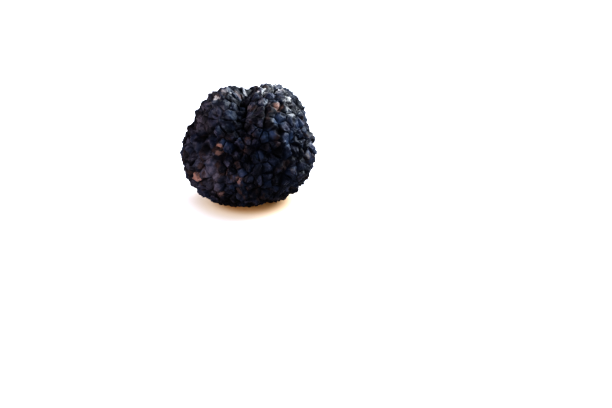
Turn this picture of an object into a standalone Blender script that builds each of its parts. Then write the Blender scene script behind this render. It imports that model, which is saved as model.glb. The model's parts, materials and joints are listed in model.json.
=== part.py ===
"""A whole black truffle: one lobed fruit body in a skin of pyramid-shaped warts, resting on a small flat spot.

Runs on its own in Blender 4.5:  blender --background --python part.py

Lengths are metres and directions are unit vectors. +Z is up, and -Y is the side that the crown cleft runs down.
The origin is the middle of the base of the truffle's box, on the surface that it rests on.

How the shape is made:
  1. The fruit body is a smooth union of round lobes, creased by clefts. It gives a radius for every direction.
  2. Wart places are scattered over all directions, never closer than a spacing that changes gently with place.
  3. The hull of those places has one corner for each wart, and its dual has one many-sided cell for each wart.
  4. Each cell becomes a low pyramid. Its rim lies down in the grooves, and its tip stands proud of the body.
  5. A level plane cuts the flat spot, and the whole is brought to its exact width, depth and height.
"""

import bmesh
import bpy
import numpy as np
from mathutils import Matrix, Vector, noise

MM = 0.001

# Overall size
WIDTH = 46.0 * MM  # along X, across the two upper lobes
DEPTH = 43.0 * MM  # along Y
HEIGHT = 40.0 * MM  # along Z, from the flat spot to the highest wart tip
MEAN_RADIUS = 21.5 * MM
FLAT_SPOT_CUT = 1.15 * MM  # how far above the lowest wart tip the flat spot lies

# The fruit body, without its warts
LOBE_BLEND = 1.3 * MM  # how softly two lobes run into each other
SWELL_HEIGHT = 0.7 * MM  # the unevenness of the body between the lobes
SWELL_LENGTH = 6.5 * MM

# Each lobe is a ball: its centre from the middle of the body, then its radius, in millimetres.
LOBES = {
    "core": ((0.0, 0.0, -2.2), 18.2),
    "upper_left": ((-5.7, 1.0, 4.7), 12.6),
    "upper_right": ((7.4, 2.0, 6.0), 12.8),
    "left_brow": ((-5.2, -4.5, 3.2), 13.0),
    "right_brow": ((6.4, -4.0, 3.4), 13.2),
    "lower_left": ((-6.6, -0.8, -4.2), 16.3),
    "lower_right": ((7.0, 0.5, -4.2), 15.9),
    "front": ((-0.5, -4.6, -2.0), 16.2),
    "back": ((0.5, 4.8, -2.2), 16.2),
    "back_left": ((-4.0, 5.2, 3.4), 13.8),
    "back_right": ((5.0, 5.4, 3.0), 13.6),
}

# Each cleft runs along the body from one direction to another, with its depth and half width in millimetres.
CLEFTS = {
    "crown": ((0.02, 0.6, 1.0), (-0.12, -0.8, 0.58), 4.4, 2.6),
    "left_cheek": ((-0.96, 0.1, 0.28), (-0.54, -0.74, 0.36), 1.8, 1.8),
    "waist": ((-0.30, -0.92, 0.26), (0.36, -0.92, 0.22), 1.9, 2.1),
    "right_cheek": ((0.96, 0.1, 0.28), (0.75, -0.6, 0.24), 1.6, 1.9),
    "back_fold": ((0.45, 0.9, 0.75), (-0.3, 1.0, -0.35), 1.8, 2.3),
}

# The warts
WART_SPACING = 2.5 * MM  # the room between two small warts, on a ball of MEAN_RADIUS
LARGEST_SHARE = 1.1  # how much more room the largest take, as a share of WART_SPACING
SPACING_CHANGE = 0.35  # the most that the room grows or shrinks from place to place, as a share
WART_STEEPNESS = 0.48  # a tip's rise above its rim, over the half width of its cell
WART_UNEVENNESS = 0.4  # the share by which one wart is taller or lower than its neighbours
TIP_STRAY = 0.55  # the furthest that a tip strays from the middle of its cell, over the cell's half width
GROOVE_DEPTH = 0.55 * MM  # how far the rims lie below the smooth body
PRESSED_SHARE = 0.35  # what is left of a wart's relief underneath, where the truffle grew pressed flat
PRESSED_SLOPE = (0.78, 0.93)  # how steeply down a direction points where the pressing starts, and where it is full
WART_THROWS = 9000  # how many places are tried

# A few warts grew larger than the rest: the direction of each, and the room that it keeps to its neighbours.
LARGE_WARTS = {
    "left_brow": ((-0.29, -0.56, 0.77), 5.4 * MM),
    "right_brow": ((0.42, -0.50, 0.76), 4.6 * MM),
    "left_flank": ((-0.86, -0.45, -0.24), 4.6 * MM),
    "back": ((0.35, 0.93, 0.12), 5.0 * MM),
}

SEED = 16
SWELL_SEED = Vector((3.1, 0.7, 5.9))
SPACING_SEED = Vector((8.2, 4.4, 1.3))

SKIN_COLOUR = (0.022, 0.021, 0.028, 1.0)
SKIN_ROUGHNESS = 0.5


def unit(rows):
    """Each row of an array brought to length 1."""
    rows = np.asarray(rows, float)
    return rows / np.linalg.norm(rows, axis=-1, keepdims=True)


def gentle_noise(directions, length, seed):
    """Smooth noise from -1 to 1 for each direction, whose bumps are about this long on the body."""
    places = directions * (MEAN_RADIUS / length)
    return np.array([noise.noise(Vector(place) + seed) for place in places])


def lobe_reach(directions, centre, radius):
    """How far each ray from the middle of the body runs before it leaves this lobe."""
    centre = np.array(centre) * MM
    along = directions @ centre
    return along + np.sqrt(along**2 - centre @ centre + (radius * MM) ** 2)


def angle_from_arc(directions, start, end):
    """The angle between each direction and the nearest point of the arc that runs from start to end."""
    share = np.linspace(0.0, 1.0, 25)[:, None]
    arc = unit(unit(start) * (1 - share) + unit(end) * share)
    nearest = np.clip(directions @ arc.T, -1.0, 1.0).max(axis=1)
    return np.arccos(nearest)


def body_radius(directions):
    """The smooth fruit body, without its warts: how far its surface is from the middle, in each direction."""
    reaches = np.array([lobe_reach(directions, *lobe) for lobe in LOBES.values()])
    longest = reaches.max(axis=0)
    radius = longest + LOBE_BLEND * np.log(np.exp((reaches - longest) / LOBE_BLEND).sum(axis=0))
    for start, end, depth, half_width in CLEFTS.values():
        off_axis = angle_from_arc(directions, start, end) * MEAN_RADIUS / (half_width * MM)
        radius -= depth * MM * np.exp(-(off_axis**2))
    return radius + SWELL_HEIGHT * gentle_noise(directions, SWELL_LENGTH, SWELL_SEED)


def scatter_wart_places(rng):
    """Directions spread at random over the whole body, each one kept if it has room beside those before it."""
    kept = unit([direction for direction, _ in LARGE_WARTS.values()])
    rooms = np.array([room for _, room in LARGE_WARTS.values()]) / MEAN_RADIUS
    throws = unit(rng.normal(size=(WART_THROWS, 3)))
    change = SPACING_CHANGE * gentle_noise(throws, 2 * SWELL_LENGTH, SPACING_SEED)
    larger = LARGEST_SHARE * rng.uniform(size=WART_THROWS) ** 1.5
    for place, room in zip(throws, WART_SPACING / MEAN_RADIUS * (1 + change + larger)):
        if (np.linalg.norm(kept - place, axis=1) > (rooms + room) / 2).all():
            kept = np.vstack([kept, place])
            rooms = np.append(rooms, room)
    return kept


def cells_around(places):
    """(corner directions, cells): the many-sided cell of each place, as a ring of corner numbers.

    The hull of places on a unit sphere joins each place to its neighbours. The normal of a hull triangle points at
    the spot that is equally far from its three places, where three cells meet.
    """
    hull = bmesh.new()
    for place in places:
        hull.verts.new(place)
    bmesh.ops.convex_hull(hull, input=hull.verts)
    bmesh.ops.recalc_face_normals(hull, faces=hull.faces)
    hull.faces.index_update()
    corners = np.array([face.normal.normalized() for face in hull.faces])
    cells = []
    for vert in hull.verts:
        loop = first = vert.link_loops[0]
        ring = []
        while not ring or loop is not first:
            ring.append(loop.face.index)
            loop = loop.link_loop_prev.link_loop_radial_next
        cells.append(ring)
    hull.free()
    return corners, cells


def relief_left(directions):
    """1 nearly everywhere, and PRESSED_SHARE underneath."""
    start, full = PRESSED_SLOPE
    pressed = np.clip((-directions[..., 2] - start) / (full - start), 0.0, 1.0)
    return 1 - (1 - PRESSED_SHARE) * pressed


def warty_skin(rng):
    """The closed skin as a bmesh: for each cell, a fan of triangles from the wart's tip down to its rim."""
    corners, cells = cells_around(scatter_wart_places(rng))
    rims = corners * (body_radius(corners) - GROOVE_DEPTH * relief_left(corners))[:, None]
    skin = bmesh.new()
    rim_verts = [skin.verts.new(rim) for rim in rims]
    for ring in cells:
        rim = rims[ring]
        middle = rim.mean(axis=0)
        half_width = np.linalg.norm(rim - middle, axis=1).mean()
        stray = unit(rng.normal(size=3)) * rng.uniform(0.2, 1.0) * TIP_STRAY * half_width
        rise = WART_STEEPNESS * half_width * (1 + WART_UNEVENNESS * rng.uniform(-1, 1)) * relief_left(unit(middle))
        tip = skin.verts.new(unit(middle + stray) * (np.linalg.norm(middle) + rise))
        for corner, following in zip(ring, ring[1:] + ring[:1]):
            skin.faces.new((tip, rim_verts[corner], rim_verts[following]))
    bmesh.ops.recalc_face_normals(skin, faces=skin.faces)
    return skin


def box_of(skin):
    """The lowest and the highest corner of the skin's box."""
    places = np.array([vert.co for vert in skin.verts])
    return places.min(axis=0), places.max(axis=0)


def cut_flat_spot(skin):
    """Cuts the underside level and closes it, which leaves the flat spot that the truffle rests on."""
    lowest, _ = box_of(skin)
    everything = list(skin.verts) + list(skin.edges) + list(skin.faces)
    level = (0.0, 0.0, lowest[2] + FLAT_SPOT_CUT)
    cut = bmesh.ops.bisect_plane(skin, geom=everything, plane_co=level, plane_no=(0, 0, 1), clear_inner=True)
    outline = [part for part in cut["geom_cut"] if isinstance(part, bmesh.types.BMEdge)]
    bmesh.ops.holes_fill(skin, edges=outline, sides=0)
    bmesh.ops.recalc_face_normals(skin, faces=skin.faces)


def bring_to_size(skin):
    """Stretches the skin slightly to its exact size, and stands it on the origin."""
    lowest, highest = box_of(skin)
    middle_of_base = Vector(((lowest[0] + highest[0]) / 2, (lowest[1] + highest[1]) / 2, lowest[2]))
    stretch = np.array((WIDTH, DEPTH, HEIGHT)) / (highest - lowest)
    bmesh.ops.translate(skin, verts=skin.verts, vec=-middle_of_base)
    bmesh.ops.transform(skin, verts=skin.verts, matrix=Matrix.Diagonal((*stretch, 1.0)))


def skin_material():
    """Blue-black, with a satin sheen."""
    material = bpy.data.materials.new("truffle_skin")
    material.use_nodes = True
    shader = material.node_tree.nodes["Principled BSDF"]
    shader.inputs["Base Color"].default_value = SKIN_COLOUR
    shader.inputs["Roughness"].default_value = SKIN_ROUGHNESS
    shader.inputs["Metallic"].default_value = 0.0
    return material


def make_truffle():
    """The truffle as one object. It grew in one piece, so it is one solid."""
    skin = warty_skin(np.random.default_rng(SEED))
    cut_flat_spot(skin)
    bring_to_size(skin)
    mesh = bpy.data.meshes.new("truffle")
    skin.to_mesh(mesh)
    skin.free()
    mesh.materials.append(skin_material())
    truffle = bpy.data.objects.new("truffle", mesh)
    bpy.context.scene.collection.objects.link(truffle)
    return truffle


def main():
    for leftover in list(bpy.data.objects):
        bpy.data.objects.remove(leftover)
    make_truffle()


main()
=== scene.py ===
"""A fresh black truffle on a white surface, under soft light from above.

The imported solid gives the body, its clefts and the place of every wart, as one low pyramid for
each wart. This script keeps that shape and grows the rind on it: cracks between the warts, worn
sloping tops, flat chips and flakes that break the faces up, ribs, hollows and grain. Then it gives
the rind its colours, and sets the surface, the lights and the camera.
"""

import json
import math
from collections import deque

import bmesh
import bpy
import numpy as np
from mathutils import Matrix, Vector

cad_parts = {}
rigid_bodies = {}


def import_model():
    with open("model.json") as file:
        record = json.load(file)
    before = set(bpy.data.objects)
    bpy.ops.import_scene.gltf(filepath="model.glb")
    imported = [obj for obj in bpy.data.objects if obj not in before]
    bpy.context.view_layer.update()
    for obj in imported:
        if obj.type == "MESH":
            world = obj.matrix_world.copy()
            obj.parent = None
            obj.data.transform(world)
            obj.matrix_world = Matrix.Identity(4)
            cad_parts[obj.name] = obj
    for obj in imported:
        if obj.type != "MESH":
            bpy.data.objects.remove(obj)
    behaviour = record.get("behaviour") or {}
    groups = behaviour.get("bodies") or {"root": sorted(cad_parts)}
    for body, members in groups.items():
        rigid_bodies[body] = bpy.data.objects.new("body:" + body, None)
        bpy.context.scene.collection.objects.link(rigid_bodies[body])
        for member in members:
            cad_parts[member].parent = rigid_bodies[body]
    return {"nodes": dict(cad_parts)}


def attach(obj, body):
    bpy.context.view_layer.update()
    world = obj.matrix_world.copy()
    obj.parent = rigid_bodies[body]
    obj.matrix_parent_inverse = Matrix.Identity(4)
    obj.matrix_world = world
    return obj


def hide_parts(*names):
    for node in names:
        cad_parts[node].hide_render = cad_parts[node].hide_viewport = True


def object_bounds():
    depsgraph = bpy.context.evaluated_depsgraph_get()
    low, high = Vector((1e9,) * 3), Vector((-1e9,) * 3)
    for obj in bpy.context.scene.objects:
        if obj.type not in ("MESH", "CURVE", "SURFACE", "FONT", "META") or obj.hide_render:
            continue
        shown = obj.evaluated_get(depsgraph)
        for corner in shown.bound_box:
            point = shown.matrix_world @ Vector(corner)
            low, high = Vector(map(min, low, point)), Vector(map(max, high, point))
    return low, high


MM = 0.001
WART_SEED = 5
CUTS_ACROSS_A_FACET = 8
SAME_CORNER = 0.0001 * MM  # corners closer than this are one corner
FLAT_SPOT_TOP = 0.01 * MM  # corners lower than this lie on the flat spot underneath
MIDDLE_COLOUR = (0.5, 0.5, 0.5)  # what a random colour is on average

# The rind, laid over the solid's pyramids. These are the inputs of its Geometry Nodes.
RIND = {
    "Fullness": 0.8,  # how far the sides of the fullest warts bulge
    "Wear": 0.42,  # the most that a tip is worn down, as a share of the wart's height
    "Top Slope": 0.55,  # how steep a worn top may be
    "Groove Depth": 0.56 * MM,
    "Groove Width": 0.20,  # as a share of the way from the rim to the tip
    "Rib Height": 0.08 * MM,
    "Ribs": 3.0,  # along the foot of one facet
    "Hollow Size": 3.5 * MM,
    "Hollow Depth": 0.9 * MM,
    "Chip Size": 2.4 * MM,
    "Chip Slope": 0.26,
    "Flake Size": 1.1 * MM,
    "Flake Slope": 0.36,
    "Grain Size": 0.8 * MM,
    "Grain Height": 0.10 * MM,
    "Seed": 4.0,
}
LOWEST_WART = 0.1 * MM  # lower ones count as this high where a slope is divided by the height
TOP_ROUNDING = 0.10  # of the edge around a worn top, as a share of the wart's height
RAGGED_SIZE = 1.3 * MM  # of the waves along the edges of cracks
RAGGED_STRAY = 1.5 * MM  # how far the edge of a pit strays with the same waves
OPENING_SIZE = 3.2 * MM  # of the stretches where cracks are open or closed
BEND_SIZE = 1.2 * MM  # of the waves that bend the edges of chips and flakes
BEND = 1.1 * MM  # how far they bend them
CHIP_SMOOTHNESS = 0.12  # how much the joints between chips are softened, from 0 to 1

# Each makes another random number from the one that a wart or a facet has
LEAN_FACTOR = 50.0
WEAR_FACTOR = 13.7
RIB_FACTOR = 90.0
CAST_FACTOR = 5.3
RUBBED_FACTOR = 9.1

# Marks on the rind: the direction of each from the truffle's middle, its radius in millimetres and
# its strength from 0 to 1.
MARKED_RADIUS = 21.0 * MM  # of the ball that the marks are measured on
FULL_STRENGTH_TO = 0.35  # of its radius, a mark has its full strength up to here
FADED_OUT_AT = 1.05  # of its radius, it is gone
WORN_PLACES = {  # rubbed down to the brown inside
    "left_foot": ((-0.75, -0.58, -0.30), 2.3, 0.45),
    "front_foot": ((-0.15, -0.95, -0.23), 1.6, 0.25),
    "left_streak_top": ((-0.43, -0.85, 0.29), 1.2, 0.36),
    "left_streak_foot": ((-0.46, -0.87, 0.18), 1.3, 0.22),
    "right_brow": ((0.48, -0.40, 0.78), 2.0, 0.5),
    "left_crown": ((-0.18, 0.13, 0.97), 2.0, 0.16),
    "cleft_edge": ((0.02, -0.39, 0.92), 1.4, 0.13),
    "right_cheek": ((0.50, -0.81, 0.31), 1.3, 0.08),
    "low_left": ((-0.41, -0.75, -0.52), 1.2, 0.15),
    "front": ((-0.07, -0.97, 0.23), 1.2, 0.1),
    "back_left": ((-0.60, 0.70, 0.35), 2.2, 0.6),
    "back": ((0.30, 0.90, -0.20), 1.8, 0.35),
    "right_side": ((0.90, 0.40, 0.10), 1.8, 0.5),
    "left_side": ((-0.95, 0.25, -0.10), 1.6, 0.4),
}
DUST_AND_HIGHLIGHT_PLACES = {  # dry with dust, and painted pale as highlights
    "left_crown": ((-0.40, 0.05, 0.91), 3.2, 0.9),
    "left_shoulder": ((-0.53, -0.08, 0.84), 2.8, 1.0),
    "notch": ((-0.05, 0.45, 0.89), 2.2, 0.45),
    "right_crown": ((0.25, 0.0, 0.97), 3.0, 1.0),
    "right_crown_back": ((0.36, 0.23, 0.91), 2.8, 1.0),
    "right_shoulder": ((0.59, -0.13, 0.80), 3.2, 1.0),
    "right_shoulder_back": ((0.50, 0.05, 0.87), 2.6, 0.9),
    "right_flank": ((0.79, -0.10, 0.60), 2.4, 0.8),
    "right_brow": ((0.28, -0.35, 0.89), 2.4, 0.4),
    "right_temple": ((0.66, -0.35, 0.67), 2.6, 0.6),
}
PAINTED_BLUE_SHEEN_PLACES = {  # the smoothest faces, painted bluish as a reflection of the light above
    "left_brow": ((-0.29, -0.56, 0.77), 3.0, 0.4),
    "right_front": ((0.34, -0.80, 0.48), 3.2, 1.0),
    "right_brow": ((0.49, -0.59, 0.64), 2.8, 0.9),
    "right_cheek": ((0.67, -0.66, 0.34), 3.4, 1.0),
    "right_shoulder": ((0.66, -0.35, 0.67), 2.0, 0.8),
    "right_flank": ((0.80, -0.37, 0.48), 2.2, 0.7),
    "front": ((0.22, -0.96, 0.17), 1.8, 0.8),
    "front_foot": ((-0.09, -0.99, -0.11), 1.8, 0.7),
    "left_front": ((-0.37, -0.86, 0.36), 1.8, 0.6),
}
GREY_PLACES = {  # dull and dry
    "left_foot": ((-0.55, -0.82, -0.17), 3.5, 0.8),
    "low_left": ((-0.53, -0.75, -0.42), 3.5, 0.7),
    "left_cheek": ((-0.80, -0.33, 0.50), 3.5, 0.8),
    "left_front": ((-0.60, -0.80, 0.05), 2.5, 0.7),
    "left_shoulder": ((-0.70, -0.50, 0.50), 2.5, 0.6),
    "back_right": ((0.60, 0.75, 0.25), 4.5, 0.6),
    "left_side": ((-0.90, 0.40, 0.20), 4.5, 0.6),
    "back_foot": ((-0.20, 0.90, -0.40), 4.0, 0.6),
}
PAINTED_SHADE_PLACES = {  # painted shade: faces made black where shade falls on them
    "left_brow": ((-0.27, -0.58, 0.77), 5.5, 0.95),
    "left_top": ((-0.38, -0.28, 0.88), 5.0, 0.9),
    "left_lobe": ((-0.10, -0.20, 0.97), 3.0, 0.8),
    "left_brow_foot": ((-0.32, -0.79, 0.52), 4.0, 0.7),
    "middle": ((0.0, -0.79, 0.61), 3.5, 0.7),
    "right_waist": ((0.51, -0.84, 0.19), 5.0, 0.9),
    "right_cheek": ((0.80, -0.50, 0.30), 4.0, 0.6),
    "front": ((0.20, -0.93, 0.30), 4.0, 0.8),
    "left_cheek_foot": ((-0.67, -0.72, 0.21), 3.0, 0.6),
    "left_waist": ((-0.41, -0.91, 0.11), 3.0, 0.6),
    "waist": ((0.02, -1.0, 0.10), 4.5, 0.8),
}
PITS = {  # deep hollows, also painted near black as shade
    "left_cheek": ((-0.74, -0.58, 0.35), 2.8, 1.0),
    "left_cheek_foot": ((-0.67, -0.72, 0.21), 2.4, 1.0),
    "left_cheek_side": ((-0.95, 0.0, 0.30), 2.6, 0.6),
    "left_heel": ((-0.88, -0.08, -0.47), 2.8, 0.8),
    "left_heel_foot": ((-0.80, -0.14, -0.58), 2.6, 0.6),
    "left_brow": ((-0.52, -0.45, 0.72), 1.4, 0.7),
    "left_brow_foot": ((-0.32, -0.79, 0.52), 2.6, 0.6),
    "middle": ((0.0, -0.79, 0.61), 2.0, 1.0),
    "cleft": ((-0.12, -0.26, 0.96), 1.8, 1.0),
    "left_crown": ((-0.46, -0.21, 0.86), 1.2, 0.8),
    "right_front_top": ((0.33, -0.73, 0.60), 1.8, 1.0),
    "right_front": ((0.51, -0.71, 0.48), 1.9, 1.0),
    "right_waist": ((0.51, -0.84, 0.19), 3.0, 1.0),
    "front": ((0.30, -0.91, 0.30), 1.8, 0.9),
    "left_waist": ((-0.41, -0.91, 0.11), 1.8, 0.8),
    "waist": ((0.02, -1.0, 0.10), 2.2, 0.9),
    "foot": ((-0.34, -0.85, -0.40), 1.4, 0.7),
    "right_foot": ((0.10, -0.89, -0.45), 1.8, 0.7),
    "right_heel": ((0.72, -0.24, -0.65), 3.0, 0.5),
    "right_heel_back": ((0.69, 0.04, -0.72), 3.2, 0.6),
    "right_heel_side": ((0.80, -0.14, -0.58), 2.8, 0.7),
}

# The colours of the rind
BROWN_BLACK = (0.0055, 0.0047, 0.0066, 1.0)
BLUE_BLACK = (0.014, 0.0165, 0.026, 1.0)
RUBBED_TOP = (0.038, 0.035, 0.046, 1.0)
BROWN_CAST = (0.026, 0.015, 0.012, 1.0)
GREY = (0.058, 0.050, 0.058, 1.0)
# painted shade, near black
PAINTED_SHADE_BLACK = (0.0035, 0.0042, 0.0085, 1.0)
# painted bluish reflection
PAINTED_BLUE_SHEEN = (0.025, 0.036, 0.057, 1.0)
# painted shade in the cracks and the hollows
CRACK_AND_HOLLOW_SHADE = (0.003, 0.0022, 0.0026, 1.0)
WORN = (0.31, 0.18, 0.13, 1.0)
# dust, and painted highlights
DUST_AND_HIGHLIGHT = (0.32, 0.295, 0.265, 1.0)

# The patterns in its colours and its sheen
PATCH_SIZE = 4.5 * MM  # of the bluish and blackish patches
BROWN_PATCH_SIZE = 3.5 * MM
SPECK_SIZE = 0.5 * MM
BLOTCH_SIZE = 1.2 * MM  # of the waves along the edges of marks
BLOTCH_STRAY = 3.0 * MM  # how far the edge of a mark strays with them
FULL_COVER_INSET = 1.7 * MM  # this far inside a pale mark, dust and painted highlight cover whole faces
CROWN_DUST_AND_HIGHLIGHT_FROM = 29.0 * MM  # thin dust and painted highlight on top start at this height
CROWN_DUST_AND_HIGHLIGHT_FULL = 37.0 * MM  # and are full at this one
SPECULAR = 0.10  # of the satin sheen
COARSE_BUMP_SIZE = 0.35 * MM
FINE_BUMP_SIZE = 0.12 * MM
BUMP_HEIGHT = 0.30 * MM
BUMP_STRENGTH = 0.7

# The white surface
SURFACE_HALF_WIDTH = 3.0  # metres
SURFACE_GAP = 0.05 * MM  # left below the truffle
SURFACE_ROUGHNESS = 0.9
# painted shadow: the glow is dim and warm at the foot, brightening further out
GLOW_IN_PAINTED_SHADOW = (0.10, 0.052, 0.018, 1.0)
GLOW_STEPS = (  # from one distance to the next, the glow turns to this colour
    (8.0 * MM, 15.0 * MM, (0.34, 0.30, 0.26, 1.0)),
    (14.0 * MM, 26.0 * MM, (0.54, 0.50, 0.50, 1.0)),
    (26.0 * MM, 50.0 * MM, (0.64, 0.62, 0.70, 1.0)),
)
GLOW_UNSEEN = 0.25  # the share of the glow that falls on the truffle
# painted shadow: the paint is warm near the foot
PAINT_IN_PAINTED_SHADOW = (0.3, 0.19, 0.10, 1.0)
PAINT = (0.3, 0.3, 0.3, 1.0)
PAINT_STEP = (10.0 * MM, 22.0 * MM)  # the paint changes between these distances

# The lights
BACKDROP = (1.05, 1.05, 1.05, 1.0)
LOW_DOME = ((0.02, 0.018, 0.026, 1.0), (0.20, 0.18, 0.24, 1.0))  # its dim and its bright side
HIGH_DOME = ((0.03, 0.05, 0.11, 1.0), (0.46, 0.64, 1.0, 1.0))
LIGHT_TARGET = (0.0, 0.0, 0.02)
SOFT_BOXES = {  # the place, side and power of each in metres and watts, and its colour
    "overhead": ((0.54, 0.34, 0.50), 0.6, 24.5, (0.86, 0.94, 1.0)),
    "right_fill": ((0.38, -0.60, 0.34), 0.4, 5.0, (0.60, 0.76, 1.0)),
    "left_fill": ((-0.65, -0.40, 0.12), 0.4, 13.0, (1.0, 0.92, 1.0)),
}

# The camera
CAMERA_ELEVATION = math.radians(23.0)
PICTURE_SPAN = 204.0 * MM  # what the width of the picture spans at the truffle
AIM_RIGHT = 19.0 * MM  # from the middle of the truffle to the middle of the picture
AIM_BELOW = 19.9 * MM
LENS = 100.0  # millimetres
SENSOR = 36.0  # millimetres
NEAREST_SEEN = 0.01  # metres


class Wire:
    """One output of a node. Python's operators on it add the nodes that do that maths."""

    def __init__(self, socket):
        self.socket = socket
        self.is_vector = socket.type in ("VECTOR", "RGBA")

    def make(self, kind, settings=None, inputs=None, output=0):
        return make(self.socket.id_data, kind, settings, inputs, output)

    def maths(self, operation, *values):
        return self.make("ShaderNodeMath", {"operation": operation}, dict(enumerate(values)))

    def vector_maths(self, operation, *values, output=0):
        settings = {"operation": operation}
        return self.make("ShaderNodeVectorMath", settings, dict(enumerate(values)), output)

    def pair(self, operation, first, second):
        if any(isinstance(value, Wire) and value.is_vector for value in (first, second)):
            return self.vector_maths(operation, first, second)
        return self.maths(operation, first, second)

    def __add__(self, other):
        return self.pair("ADD", self, other)

    def __radd__(self, other):
        return self.pair("ADD", other, self)

    def __sub__(self, other):
        return self.pair("SUBTRACT", self, other)

    def __rsub__(self, other):
        return self.pair("SUBTRACT", other, self)

    def __mul__(self, other):
        if self.is_vector and not (isinstance(other, Wire) and other.is_vector):
            inputs = {0: self, "Scale": other}
            return self.make("ShaderNodeVectorMath", {"operation": "SCALE"}, inputs)
        return self.pair("MULTIPLY", self, other)

    def __rmul__(self, other):
        return self * other

    def __truediv__(self, other):
        return self.maths("DIVIDE", self, other)

    def __rtruediv__(self, other):
        return self.maths("DIVIDE", other, self)

    def most(self, other):
        return self.maths("MAXIMUM", self, other)

    def another(self, factor):
        """A second random number from 0 to 1, made from the first."""
        return self.maths("FRACT", self * factor)

    def between(self, low, high, start=0.0, end=1.0):
        """The start below low, the end above high, and a smooth step between them."""
        settings = {"interpolation_type": "SMOOTHSTEP"}
        inputs = {"Value": self, "From Min": low, "From Max": high, "To Min": start, "To Max": end}
        return self.make("ShaderNodeMapRange", settings, inputs)

    def part(self, axis):
        return self.make("ShaderNodeSeparateXYZ", {}, {0: self}, axis)

    def direction(self):
        return self.vector_maths("NORMALIZE", self)

    def length(self):
        return self.vector_maths("LENGTH", self, output="Value")

    def distance(self, other):
        return self.vector_maths("DISTANCE", self, other, output="Value")

    def dot(self, other):
        return self.vector_maths("DOT_PRODUCT", self, other, output="Value")

    def noise(self, size, seed=0.0, detail=2.0, roughness=0.5, output="Fac"):
        """Soft noise, about 0.5 on average, whose bumps are this large."""
        inputs = {
            "Vector": self,
            "W": seed,
            "Scale": 1.0 / size,
            "Detail": detail,
            "Roughness": roughness,
        }
        return self.make("ShaderNodeTexNoise", {"noise_dimensions": "4D"}, inputs, output)


def make(tree, kind, settings=None, inputs=None, output=0):
    """Adds a node of this kind, with its settings first and then its values and links.

    Returns one of its outputs, or the node itself if it has none.
    """
    node = tree.nodes.new(kind)
    for name, value in (settings or {}).items():
        setattr(node, name, value)
    for name, value in (inputs or {}).items():
        if isinstance(value, Wire):
            tree.links.new(value.socket, node.inputs[name])
        else:
            node.inputs[name].default_value = value
    return Wire(node.outputs[output]) if len(node.outputs) else node


def mix(share, first, second):
    """The first colour where share is 0, the second where it is 1."""
    inputs = {0: share, 6: first, 7: second}
    return share.make("ShaderNodeMix", {"data_type": "RGBA"}, inputs, 2)


def marks(outwards, places, stray):
    """How strong the marks at these places are, from 0 to 1. The stray makes them ragged."""
    strongest = None
    for direction, radius, strength in places.values():
        away = outwards.distance(Vector(direction).normalized()) * MARKED_RADIUS + stray
        full_to = FULL_STRENGTH_TO * radius * MM
        mark = away.between(full_to, FADED_OUT_AT * radius * MM, strength, 0.0)
        strongest = mark if strongest is None else strongest.most(mark)
    return strongest


# -------------------------------------------------------------------------------------------------
# The rind


def tips_of_facets(shape):
    """The vertex at the tip of the wart that each facet belongs to.

    Two facets that meet at an edge down from a tip share that tip. Two that meet along a rim have
    their tips on either side of it. So one known tip gives all the rest. Facets that touch the
    flat spot get a tip as well, but nothing is worked out from them.
    """
    start = max(shape.verts, key=lambda vert: vert.co.z)
    tip_of = {face: start for face in start.link_faces}
    waiting = deque(start.link_faces)
    while waiting:
        face = waiting.popleft()
        if any(vert.co.z < FLAT_SPOT_TOP for vert in face.verts):
            continue
        for edge in face.edges:
            for beyond in edge.link_faces:
                if beyond in tip_of:
                    continue
                if tip_of[face] in edge.verts:
                    tip_of[beyond] = tip_of[face]
                else:
                    tip_of[beyond] = next(vert for vert in beyond.verts if vert not in edge.verts)
                waiting.append(beyond)
    return tip_of


def mark_warts(shape):
    """Writes on the mesh what the rind needs to know of each wart.

    tip: 1 at the tips, 0 at the rims.
    peak: where the wart's tip is.
    rise: from the middle of its foot up to there.
    wart: a number from 0 to 1, the same for a whole wart.
    facet: another, the same for one of its sides.
    across: 0 to 1 along the foot of each facet, and 0.5 at its tip.
    """
    chance = np.random.default_rng(WART_SEED)
    tip = shape.verts.layers.float.new("tip")
    peak = shape.faces.layers.float_vector.new("peak")
    rise = shape.faces.layers.float_vector.new("rise")
    wart = shape.faces.layers.float.new("wart")
    facet = shape.faces.layers.float.new("facet")
    across = shape.loops.layers.uv.new("across")
    wart_number = {vert: chance.uniform() for vert in shape.verts}
    for face, top in tips_of_facets(shape).items():
        face[wart] = wart_number[top]
        face[facet] = chance.uniform()
        if top.co.z < FLAT_SPOT_TOP:
            continue
        top[tip] = 1.0
        foot = [edge.other_vert(top).co for edge in top.link_edges]
        face[peak] = top.co
        face[rise] = top.co - sum(foot, Vector()) / len(foot)
        side = 0.0
        for loop in face.loops:
            if loop.vert is top:
                loop[across].uv = (0.5, 1.0)
            else:
                loop[across].uv = (side, 0.0)
                side = 1.0


def marked_body(node):
    """A copy of the CAD body as one connected fine mesh, with its warts marked."""
    shape = bmesh.new()
    shape.from_mesh(node.data)
    bmesh.ops.remove_doubles(shape, verts=shape.verts, dist=SAME_CORNER)
    mark_warts(shape)
    bmesh.ops.subdivide_edges(
        shape, edges=shape.edges, cuts=CUTS_ACROSS_A_FACET, use_grid_fill=True
    )
    mesh = bpy.data.meshes.new("marked_body")
    shape.to_mesh(mesh)
    shape.free()
    body = bpy.data.objects.new("marked_body", mesh)
    bpy.context.scene.collection.objects.link(body)
    return body


def chips(place, size):
    """Breaks a surface into flat chips of this size, each tilted its own way.

    Returns a number from 0 to 1 for each chip, and how far the chip rises at each place for a
    slope of 1.
    """
    settings = {"feature": "SMOOTH_F1"}
    inputs = {"Vector": place, "Scale": 1.0 / size, "Smoothness": CHIP_SMOOTHNESS}
    middle = place.make("ShaderNodeTexVoronoi", settings, inputs, "Position")
    chance = place.make("ShaderNodeTexVoronoi", settings, inputs, "Color")
    tilt = (chance - MIDDLE_COLOUR) * 2.0
    return chance.part(0), tilt.dot(place - middle)


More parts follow.
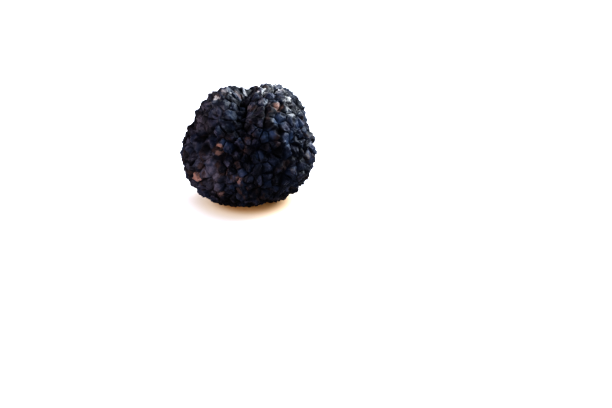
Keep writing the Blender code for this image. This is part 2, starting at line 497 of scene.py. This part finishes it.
def rind_tree():
    """Geometry Nodes that grow the rind on the marked body."""
    tree = bpy.data.node_groups.new("grow_rind", "GeometryNodeTree")

    def add_socket(name, kind, in_out="INPUT"):
        tree.interface.new_socket(name, in_out=in_out, socket_type="NodeSocket" + kind)

    add_socket("Geometry", "Geometry")
    add_socket("Geometry", "Geometry", "OUTPUT")
    for name in RIND:
        add_socket(name, "Float")
    add_socket("Middle", "Vector")
    add_socket("Material", "Material")
    entry = tree.nodes.new("NodeGroupInput")
    given = {output.name: Wire(output) for output in entry.outputs if output.name}

    def read(name, kind="FLOAT"):
        return make(tree, "GeometryNodeInputNamedAttribute", {"data_type": kind}, {"Name": name})

    def vector(x, y, z):
        return make(tree, "ShaderNodeCombineXYZ", {}, {0: x, 1: y, 2: z})

    def moved(mesh, inputs):
        return make(tree, "GeometryNodeSetPosition", {}, {"Geometry": mesh, **inputs})

    place = make(tree, "GeometryNodeInputPosition")
    seed = given["Seed"]
    tip = read("tip")
    wart = read("wart")
    outwards = (place - given["Middle"]).direction()

    # Some warts bulge and some keep straight sides. Most are worn down to a sloping top.
    rise = read("rise", "FLOAT_VECTOR")
    dice = {"noise_dimensions": "1D"}
    lean = make(tree, "ShaderNodeTexWhiteNoise", dice, {"W": wart * LEAN_FACTOR}, "Color")
    lean = (lean - MIDDLE_COLOUR) * (2.0 * given["Top Slope"])
    higher = lean.dot(place - read("peak", "FLOAT_VECTOR"))
    tall = rise.length().most(LOWEST_WART)
    full = tip * (1.0 + given["Fullness"] * wart * (1.0 - tip))
    evenness = marks(outwards, PAINTED_BLUE_SHEEN_PLACES, 0.0).between(0.0, 0.35)
    wear = given["Wear"] * wart.another(WEAR_FACTOR).most(0.9 * evenness)
    worn_height = 1.0 - wear + higher / tall * (1.0 - 0.7 * evenness)
    profile = full.maths("SMOOTH_MIN", full, worn_height, TOP_ROUNDING)
    wart_move = rise * (profile - tip)
    top = (full - worn_height).between(-0.05, 0.12)

    # Cracks run along the rims, deep in some places and nearly closed in others.
    ragged = place.noise(RAGGED_SIZE, seed, detail=3.0)
    foot = 1.0 - tip.between(0.0, given["Groove Width"] * (0.3 + 1.4 * ragged))
    openness = place.noise(OPENING_SIZE, seed + 7.0, detail=1.0).between(0.38, 0.66)
    crack = foot * (0.45 + 0.55 * openness)
    groove_depth = given["Groove Depth"] * crack

    # Hollows let some warts sink and others stand out.
    hollow = place.noise(given["Hollow Size"], seed + 9.0, detail=1.0).between(0.5, 0.8)
    hollow = hollow.most(marks(outwards, PITS, (ragged - 0.5) * RAGGED_STRAY))
    hollow_depth = given["Hollow Depth"] * hollow

    # Ribs run down each facet from the tip, and fade towards its foot and its tip.
    along_foot = (read("across", "FLOAT_VECTOR").part(0) - 0.5 * tip) / (1.02 - tip)
    rib_place = vector(along_foot * given["Ribs"], read("facet") * RIB_FACTOR, tip * 0.8)
    ribs = rib_place.noise(1.0, seed, detail=1.0) - 0.5
    rib_height = given["Rib Height"] * 8.0 * ribs * tip * (1.0 - tip)

    # The surface is broken into small flat faces, each tilted its own way, and grain roughens
    # everything.
    wave = place.noise(BEND_SIZE, seed + 1.0, output="Color") - MIDDLE_COLOUR
    bent = place + wave * BEND
    chip, chip_rise = chips(bent, given["Chip Size"])
    flake, flake_rise = chips(bent, given["Flake Size"])
    chip_height = given["Chip Slope"] * chip_rise + given["Flake Slope"] * flake_rise
    chip_height = chip_height * (1.0 - 0.75 * evenness)
    grain = place.noise(given["Grain Size"], seed + 2.0, detail=3.0, roughness=0.6) - 0.5
    grain_height = given["Grain Height"] * 2.0 * grain

    height = chip_height + rib_height + grain_height - groove_depth - hollow_depth
    mesh = given["Geometry"]
    kept = {"chip": chip, "flake": flake, "top": top, "hollow": hollow, "crack": crack}
    for name, value in kept.items():
        inputs = {"Geometry": mesh, "Name": name, "Value": value}
        mesh = make(tree, "GeometryNodeStoreNamedAttribute", {"data_type": "FLOAT"}, inputs)
    mesh = moved(mesh, {"Offset": wart_move + outwards * height})
    above_floor = vector(place.part(0), place.part(1), place.part(2).most(0.0))
    mesh = moved(mesh, {"Position": above_floor})
    mesh = make(tree, "GeometryNodeSetShadeSmooth", {}, {"Geometry": mesh, "Shade Smooth": True})
    mesh = make(tree, "GeometryNodeRealizeInstances", {}, {"Geometry": mesh})
    inputs = {"Geometry": mesh, "Material": given["Material"]}
    mesh = make(tree, "GeometryNodeSetMaterial", {}, inputs)
    make(tree, "NodeGroupOutput", {}, {0: mesh})
    return tree


def grown_rind(body, middle, material):
    """The finished rind as a plain mesh, grown on the marked body by Geometry Nodes."""
    tree = rind_tree()
    modifier = body.modifiers.new("grow_rind", "NODES")
    modifier.node_group = tree
    given = {**RIND, "Middle": middle, "Material": material}
    for item in tree.interface.items_tree:
        if item.in_out == "INPUT" and item.name in given:
            modifier[item.identifier] = given[item.name]
    evaluated = body.evaluated_get(bpy.context.evaluated_depsgraph_get())
    mesh = bpy.data.meshes.new_from_object(evaluated)
    bpy.data.objects.remove(body)
    mesh.name = "truffle_rind"
    rind = bpy.data.objects.new("truffle_rind", mesh)
    bpy.context.scene.collection.objects.link(rind)
    return rind


def rind_material(middle):
    """Blue-black and satin on the faces, black as painted shade and dull in the cracks, with five
    kinds of mark.
    """
    material = bpy.data.materials.new("black_warty_rind")
    material.use_nodes = True
    tree = material.node_tree
    shader = tree.nodes["Principled BSDF"]

    def read(name):
        return make(tree, "ShaderNodeAttribute", {"attribute_name": name}, {}, "Fac")

    place = make(tree, "ShaderNodeTexCoord", {}, {}, "Object")
    wart = read("wart")
    chip = read("chip")
    flake = read("flake")
    top = read("top")
    hollow = read("hollow")
    groove = read("crack").between(0.1, 0.8)
    outwards = (place - middle).direction()
    patches = place.noise(PATCH_SIZE, seed=1.0)
    specks = place.noise(SPECK_SIZE, seed=2.0, detail=3.0, roughness=0.6)
    blotches = place.noise(BLOTCH_SIZE, seed=4.0, detail=3.0, roughness=0.6) - 0.5
    stray = blotches * BLOTCH_STRAY

    # The faces are black, some with a bluish or a brownish cast, and lighter where a tip is worn.
    bluish = (0.45 * wart.another(CAST_FACTOR) + patches).between(0.62, 0.92)
    brownish = (0.5 * chip + place.noise(BROWN_PATCH_SIZE, seed=3.0)).between(0.88, 1.02)
    colour = mix(bluish, BROWN_BLACK, BLUE_BLACK)
    colour = mix(top * (0.15 + 0.75 * wart.another(RUBBED_FACTOR)), colour, RUBBED_TOP)
    colour = mix(brownish * 0.8, colour, BROWN_CAST)

    # The marks lie over that, the cracks' painted shade over most, and dust and painted highlight
    # on top.
    # Painted shade: faces made black where shade falls on them.
    painted_shade = marks(outwards, PAINTED_SHADE_PLACES, stray)
    # Painted bluish reflection on the smoothest faces.
    painted_blue_sheen = marks(outwards, PAINTED_BLUE_SHEEN_PLACES, stray) * (0.35 + 0.9 * chip)
    worn = marks(outwards, WORN_PLACES, stray)
    colour = mix(marks(outwards, GREY_PLACES, stray), colour, GREY)
    colour = mix(painted_shade, colour, PAINTED_SHADE_BLACK)
    colour = mix(painted_blue_sheen, colour, PAINTED_BLUE_SHEEN)
    # Painted shade: the cracks and the hollows are made near black.
    colour = mix((groove * 0.8).most(hollow * 0.9), colour, CRACK_AND_HOLLOW_SHADE)
    colour = mix(worn * (1.0 - 0.6 * groove), colour, WORN)
    # Dust and painted highlight, paler towards the top and at the pale places.
    crown_dust_and_highlight = place.part(2).between(CROWN_DUST_AND_HIGHLIGHT_FROM, CROWN_DUST_AND_HIGHLIGHT_FULL)
    flecks_and_highlights = marks(outwards, DUST_AND_HIGHLIGHT_PLACES, stray).most(0.1 * crown_dust_and_highlight)
    flecks_and_highlights = flecks_and_highlights * flake.between(0.45, 0.62, 0.1, 1.0)
    dust_and_highlight_mask = flecks_and_highlights.most(marks(outwards, DUST_AND_HIGHLIGHT_PLACES, stray + FULL_COVER_INSET))
    colour = mix(dust_and_highlight_mask * (0.35 + 0.9 * specks) * (1.0 - 0.7 * groove), colour, DUST_AND_HIGHLIGHT)
    tree.links.new(colour.socket, shader.inputs["Base Color"])

    # The worn tops are the smoothest. The cracks, the hollows and the painted shade are dull.
    dull = groove.most(hollow).most(0.5 * painted_shade)
    roughness = 0.38 - 0.08 * top + 0.20 * chip + 0.35 * dull + 0.25 * (specks - 0.5)
    tree.links.new(roughness.socket, shader.inputs["Roughness"])
    shader.inputs["Specular IOR Level"].default_value = SPECULAR

    coarse = place.noise(COARSE_BUMP_SIZE, seed=5.0, detail=4.0, roughness=0.65)
    fine = place.noise(FINE_BUMP_SIZE, seed=6.0)
    inputs = {
        "Height": coarse * 0.6 + fine * 0.25,
        "Distance": BUMP_HEIGHT,
        "Strength": BUMP_STRENGTH,
    }
    bump = make(tree, "ShaderNodeBump", {}, inputs)
    tree.links.new(bump.socket, shader.inputs["Normal"])
    return material


# -------------------------------------------------------------------------------------------------
# The surface, the lights and the camera


def white_surface():
    """A white surface that gives off light of its own, with a warm painted shadow around the
    truffle's foot.
    """
    mesh = bpy.data.meshes.new("white_surface")
    half = SURFACE_HALF_WIDTH
    corners = [(-half, -half, 0), (half, -half, 0), (half, half, 0), (-half, half, 0)]
    mesh.from_pydata(corners, [], [(0, 1, 2, 3)])
    material = bpy.data.materials.new("white_surface")
    material.use_nodes = True
    tree = material.node_tree
    shader = tree.nodes["Principled BSDF"]
    away = make(tree, "ShaderNodeTexCoord", {}, {}, "Object").length()
    # Painted shadow: the glow is dim and warm at the foot.
    glow = GLOW_IN_PAINTED_SHADOW
    for start, end, colour in GLOW_STEPS:
        glow = mix(away.between(start, end), glow, colour)
    seen = make(tree, "ShaderNodeLightPath", {}, {}, "Is Camera Ray")
    glow = glow * (GLOW_UNSEEN + (1.0 - GLOW_UNSEEN) * seen)
    tree.links.new(glow.socket, shader.inputs["Emission Color"])
    # Painted shadow: the paint is warm near the foot.
    paint = mix(away.between(*PAINT_STEP), PAINT_IN_PAINTED_SHADOW, PAINT)
    tree.links.new(paint.socket, shader.inputs["Base Color"])
    shader.inputs["Emission Strength"].default_value = 1.0
    shader.inputs["Roughness"].default_value = SURFACE_ROUGHNESS
    shader.inputs["Specular IOR Level"].default_value = 0.0
    mesh.materials.append(material)
    surface = bpy.data.objects.new("white_surface", mesh)
    surface.location.z = -SURFACE_GAP
    bpy.context.scene.collection.objects.link(surface)


def soft_box(name, place, side, power, colour):
    """A square light that faces the truffle."""
    lamp = bpy.data.lights.new(name, "AREA")
    lamp.shape = "SQUARE"
    lamp.size = side
    lamp.energy = power
    lamp.color = colour
    box = bpy.data.objects.new(name, lamp)
    box.location = place
    towards = Vector(LIGHT_TARGET) - Vector(place)
    box.rotation_euler = towards.to_track_quat("-Z", "Y").to_euler()
    bpy.context.scene.collection.objects.link(box)


def studio_light():
    """Three soft boxes in a bluish dome, which is bright at the back right and dim at the front.

    The camera sees plain white behind everything instead of the dome.
    """
    world = bpy.data.worlds.new("studio")
    bpy.context.scene.world = world
    world.use_nodes = True
    tree = world.node_tree
    tree.nodes.clear()
    ray = make(tree, "ShaderNodeTexCoord", {}, {}, "Generated")
    right = ray.part(0)
    back = ray.part(1)
    up = ray.part(2)
    low = mix((0.8 * back - 0.4 * right).between(-0.5, 0.8), *LOW_DOME)
    high = mix((0.6 * back + 0.7 * right).between(-0.25, 0.8), *HIGH_DOME)
    dome = mix(up.between(0.08, 0.5), low, high)
    seen = make(tree, "ShaderNodeLightPath", {}, {}, "Is Camera Ray")
    background = make(tree, "ShaderNodeBackground", {}, {"Color": mix(seen, dome, BACKDROP)})
    make(tree, "ShaderNodeOutputWorld", {}, {"Surface": background})
    for name, box in SOFT_BOXES.items():
        soft_box(name, *box)
    bpy.context.scene.view_settings.view_transform = "Standard"
    bpy.context.scene.view_settings.look = "Very High Contrast"


def point_camera(lowest, highest):
    """Places the camera so that the truffle has its size and place in the picture."""
    centre = (lowest + highest) / 2
    forward = Vector((0.0, math.cos(CAMERA_ELEVATION), -math.sin(CAMERA_ELEVATION)))
    right = Vector((1.0, 0.0, 0.0))
    up = right.cross(forward)
    distance = PICTURE_SPAN * LENS / SENSOR
    lens = bpy.data.cameras.new("camera")
    lens.lens = LENS
    lens.sensor_width = SENSOR
    lens.clip_start = NEAREST_SEEN
    camera = bpy.data.objects.new("camera", lens)
    camera.location = centre - forward * distance + right * AIM_RIGHT - up * AIM_BELOW
    camera.rotation_euler = forward.to_track_quat("-Z", "Y").to_euler()
    bpy.context.scene.collection.objects.link(camera)
    bpy.context.scene.camera = camera


def main():
    for leftover in list(bpy.data.objects):
        bpy.data.objects.remove(leftover)
    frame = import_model()
    cad_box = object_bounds()
    point_camera(*cad_box)
    studio_light()
    white_surface()

    middle = (cad_box[0] + cad_box[1]) / 2
    body = marked_body(frame["nodes"]["truffle"])
    rind = grown_rind(body, middle, rind_material(middle))
    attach(rind, "root")
    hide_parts("truffle")


main()
